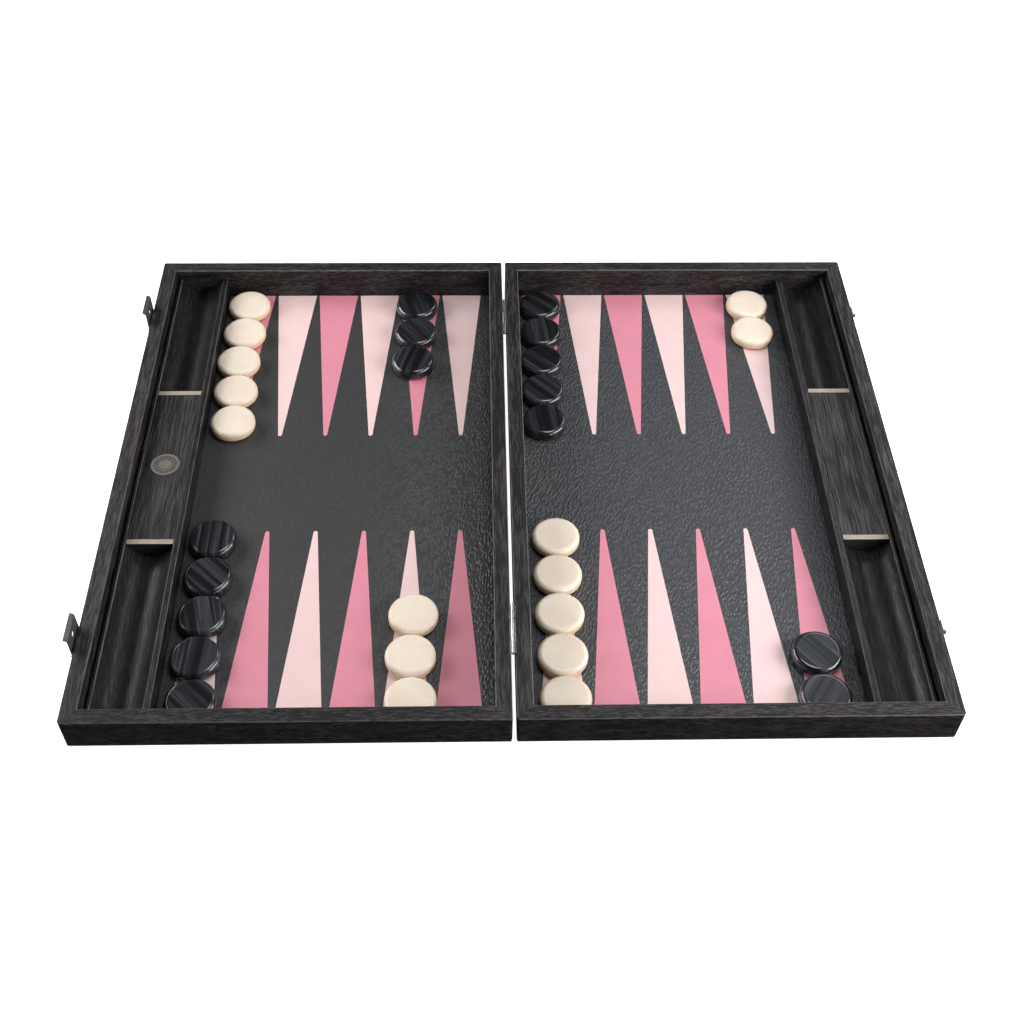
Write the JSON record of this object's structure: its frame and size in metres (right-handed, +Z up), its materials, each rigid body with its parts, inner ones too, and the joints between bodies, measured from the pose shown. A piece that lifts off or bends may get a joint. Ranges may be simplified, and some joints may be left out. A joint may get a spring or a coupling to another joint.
{
  "type": "backgammon set",
  "caption": "Folding backgammon case lying open, with inlaid playing field, side troughs with sliding blocks, checkers set out for a game, hinges and clasps.",
  "frame": {"origin": "on the table, under the middle of the open set's bounding box", "axes": "+X from the left half to the right half, +Y away from the player, +Z up"},
  "size_m": [0.6114, 0.48, 0.0437],
  "materials": {
    "dark_veneer": "satin lacquered dark veneer with visible grain",
    "panel_wood": "dark stained panel",
    "field_leather": "pebbled charcoal leather",
    "rose_inlay": "smooth satin dark rose leather",
    "pale_inlay": "smooth satin pale pink leather",
    "trough_wood": "satin dark stained moulding",
    "block_veneer": "satin lacquered dark veneer",
    "raw_wood": "bare pinkish beige wood",
    "badge_metal": "matt brass",
    "hinge_steel": "plain steel",
    "clasp_black": "black enamelled steel",
    "checker_ivory": "polished cast resin, slightly translucent",
    "checker_black": "polished cast resin with straight brushed striations"
  },
  "bodies": {
    "left_half": {"left_long_walls": "dark_veneer", "left_short_walls": "dark_veneer", "left_base": "panel_wood", "left_leather": "field_leather", "left_rose_points": "rose_inlay", "left_pale_points": "pale_inlay", "left_trough": "trough_wood", "left_hinge_leaves": "hinge_steel", "hinge_pins": "hinge_steel", "left_screws": "hinge_steel", "clasp_plates": "clasp_black", "clasp_pins": "clasp_black"},
    "right_half": {"right_long_walls": "dark_veneer", "right_short_walls": "dark_veneer", "right_base": "panel_wood", "right_leather": "field_leather", "right_rose_points": "rose_inlay", "right_pale_points": "pale_inlay", "right_trough": "trough_wood", "right_hinge_leaves": "hinge_steel", "right_screws": "hinge_steel", "studs": "clasp_black"},
    "left_block": {"left_block": "block_veneer", "left_block_ends": "raw_wood", "badge": "badge_metal"},
    "right_block": {"right_block": "block_veneer", "right_block_ends": "raw_wood"},
    "flap_near": {"clasp_flap_near": "clasp_black"},
    "flap_far": {"clasp_flap_far": "clasp_black"},
    "checker_ivory_01": {"checker_ivory_01": "checker_ivory"},
    "checker_ivory_02": {"checker_ivory_02": "checker_ivory"},
    "checker_ivory_03": {"checker_ivory_03": "checker_ivory"},
    "checker_ivory_04": {"checker_ivory_04": "checker_ivory"},
    "checker_ivory_05": {"checker_ivory_05": "checker_ivory"},
    "checker_ivory_06": {"checker_ivory_06": "checker_ivory"},
    "checker_ivory_07": {"checker_ivory_07": "checker_ivory"},
    "checker_ivory_08": {"checker_ivory_08": "checker_ivory"},
    "checker_ivory_09": {"checker_ivory_09": "checker_ivory"},
    "checker_ivory_10": {"checker_ivory_10": "checker_ivory"},
    "checker_ivory_11": {"checker_ivory_11": "checker_ivory"},
    "checker_ivory_12": {"checker_ivory_12": "checker_ivory"},
    "checker_ivory_13": {"checker_ivory_13": "checker_ivory"},
    "checker_ivory_14": {"checker_ivory_14": "checker_ivory"},
    "checker_ivory_15": {"checker_ivory_15": "checker_ivory"},
    "checker_black_01": {"checker_black_01": "checker_black"},
    "checker_black_02": {"checker_black_02": "checker_black"},
    "checker_black_03": {"checker_black_03": "checker_black"},
    "checker_black_04": {"checker_black_04": "checker_black"},
    "checker_black_05": {"checker_black_05": "checker_black"},
    "checker_black_06": {"checker_black_06": "checker_black"},
    "checker_black_07": {"checker_black_07": "checker_black"},
    "checker_black_08": {"checker_black_08": "checker_black"},
    "checker_black_09": {"checker_black_09": "checker_black"},
    "checker_black_10": {"checker_black_10": "checker_black"},
    "checker_black_11": {"checker_black_11": "checker_black"},
    "checker_black_12": {"checker_black_12": "checker_black"},
    "checker_black_13": {"checker_black_13": "checker_black"},
    "checker_black_14": {"checker_black_14": "checker_black"},
    "checker_black_15": {"checker_black_15": "checker_black"}
  },
  "joints": [
    {"name": "fold", "type": "hinge", "parent": "left_half", "child": "right_half", "pos_m": [0.00065, 0, 0.03215], "axis": [0, 1, 0], "range_deg": [-180, 0]},
    {"name": "left_block_slide", "type": "slide", "parent": "left_half", "child": "left_block", "axis": [0, 1, 0], "range_m": [-0.1501, 0.1431]},
    {"name": "right_block_slide", "type": "slide", "parent": "right_half", "child": "right_block", "axis": [0, 1, 0], "range_m": [-0.1501, 0.1431]},
    {"name": "flap_near_turn", "type": "hinge", "parent": "left_half", "child": "flap_near", "pos_m": [-0.30269, -0.1695, 0.0244], "axis": [0, -1, 0], "range_deg": [0, 150]},
    {"name": "flap_far_turn", "type": "hinge", "parent": "left_half", "child": "flap_far", "pos_m": [-0.30269, 0.1695, 0.0244], "axis": [0, -1, 0], "range_deg": [0, 150]},
    {"name": "checker_ivory_01_lift", "type": "slide", "parent": "left_half", "child": "checker_ivory_01", "axis": [0, 0, 1], "range_m": [0, 0.032]},
    {"name": "checker_ivory_02_lift", "type": "slide", "parent": "left_half", "child": "checker_ivory_02", "axis": [0, 0, 1], "range_m": [0, 0.032]},
    {"name": "checker_ivory_03_lift", "type": "slide", "parent": "left_half", "child": "checker_ivory_03", "axis": [0, 0, 1], "range_m": [0, 0.032]},
    {"name": "checker_ivory_04_lift", "type": "slide", "parent": "left_half", "child": "checker_ivory_04", "axis": [0, 0, 1], "range_m": [0, 0.032]},
    {"name": "checker_ivory_05_lift", "type": "slide", "parent": "left_half", "child": "checker_ivory_05", "axis": [0, 0, 1], "range_m": [0, 0.032]},
    {"name": "checker_ivory_06_lift", "type": "slide", "parent": "left_half", "child": "checker_ivory_06", "axis": [0, 0, 1], "range_m": [0, 0.032]},
    {"name": "checker_ivory_07_lift", "type": "slide", "parent": "left_half", "child": "checker_ivory_07", "axis": [0, 0, 1], "range_m": [0, 0.032]},
    {"name": "checker_ivory_08_lift", "type": "slide", "parent": "left_half", "child": "checker_ivory_08", "axis": [0, 0, 1], "range_m": [0, 0.032]},
    {"name": "checker_ivory_09_lift", "type": "slide", "parent": "right_half", "child": "checker_ivory_09", "axis": [0, 0, 1], "range_m": [0, 0.032]},
    {"name": "checker_ivory_10_lift", "type": "slide", "parent": "right_half", "child": "checker_ivory_10", "axis": [0, 0, 1], "range_m": [0, 0.032]},
    {"name": "checker_ivory_11_lift", "type": "slide", "parent": "right_half", "child": "checker_ivory_11", "axis": [0, 0, 1], "range_m": [0, 0.032]},
    {"name": "checker_ivory_12_lift", "type": "slide", "parent": "right_half", "child": "checker_ivory_12", "axis": [0, 0, 1], "range_m": [0, 0.032]},
    {"name": "checker_ivory_13_lift", "type": "slide", "parent": "right_half", "child": "checker_ivory_13", "axis": [0, 0, 1], "range_m": [0, 0.032]},
    {"name": "checker_ivory_14_lift", "type": "slide", "parent": "right_half", "child": "checker_ivory_14", "axis": [0, 0, 1], "range_m": [0, 0.032]},
    {"name": "checker_ivory_15_lift", "type": "slide", "parent": "right_half", "child": "checker_ivory_15", "axis": [0, 0, 1], "range_m": [0, 0.032]},
    {"name": "checker_black_01_lift", "type": "slide", "parent": "left_half", "child": "checker_black_01", "axis": [0, 0, 1], "range_m": [0, 0.032]},
    {"name": "checker_black_02_lift", "type": "slide", "parent": "left_half", "child": "checker_black_02", "axis": [0, 0, 1], "range_m": [0, 0.032]},
    {"name": "checker_black_03_lift", "type": "slide", "parent": "left_half", "child": "checker_black_03", "axis": [0, 0, 1], "range_m": [0, 0.032]},
    {"name": "checker_black_04_lift", "type": "slide", "parent": "left_half", "child": "checker_black_04", "axis": [0, 0, 1], "range_m": [0, 0.032]},
    {"name": "checker_black_05_lift", "type": "slide", "parent": "left_half", "child": "checker_black_05", "axis": [0, 0, 1], "range_m": [0, 0.032]},
    {"name": "checker_black_06_lift", "type": "slide", "parent": "left_half", "child": "checker_black_06", "axis": [0, 0, 1], "range_m": [0, 0.032]},
    {"name": "checker_black_07_lift", "type": "slide", "parent": "left_half", "child": "checker_black_07", "axis": [0, 0, 1], "range_m": [0, 0.032]},
    {"name": "checker_black_08_lift", "type": "slide", "parent": "left_half", "child": "checker_black_08", "axis": [0, 0, 1], "range_m": [0, 0.032]},
    {"name": "checker_black_09_lift", "type": "slide", "parent": "right_half", "child": "checker_black_09", "axis": [0, 0, 1], "range_m": [0, 0.032]},
    {"name": "checker_black_10_lift", "type": "slide", "parent": "right_half", "child": "checker_black_10", "axis": [0, 0, 1], "range_m": [0, 0.032]},
    {"name": "checker_black_11_lift", "type": "slide", "parent": "right_half", "child": "checker_black_11", "axis": [0, 0, 1], "range_m": [0, 0.032]},
    {"name": "checker_black_12_lift", "type": "slide", "parent": "right_half", "child": "checker_black_12", "axis": [0, 0, 1], "range_m": [0, 0.032]},
    {"name": "checker_black_13_lift", "type": "slide", "parent": "right_half", "child": "checker_black_13", "axis": [0, 0, 1], "range_m": [0, 0.032]},
    {"name": "checker_black_14_lift", "type": "slide", "parent": "right_half", "child": "checker_black_14", "axis": [0, 0, 1], "range_m": [0, 0.032]},
    {"name": "checker_black_15_lift", "type": "slide", "parent": "right_half", "child": "checker_black_15", "axis": [0, 0, 1], "range_m": [0, 0.032]}
  ]
}
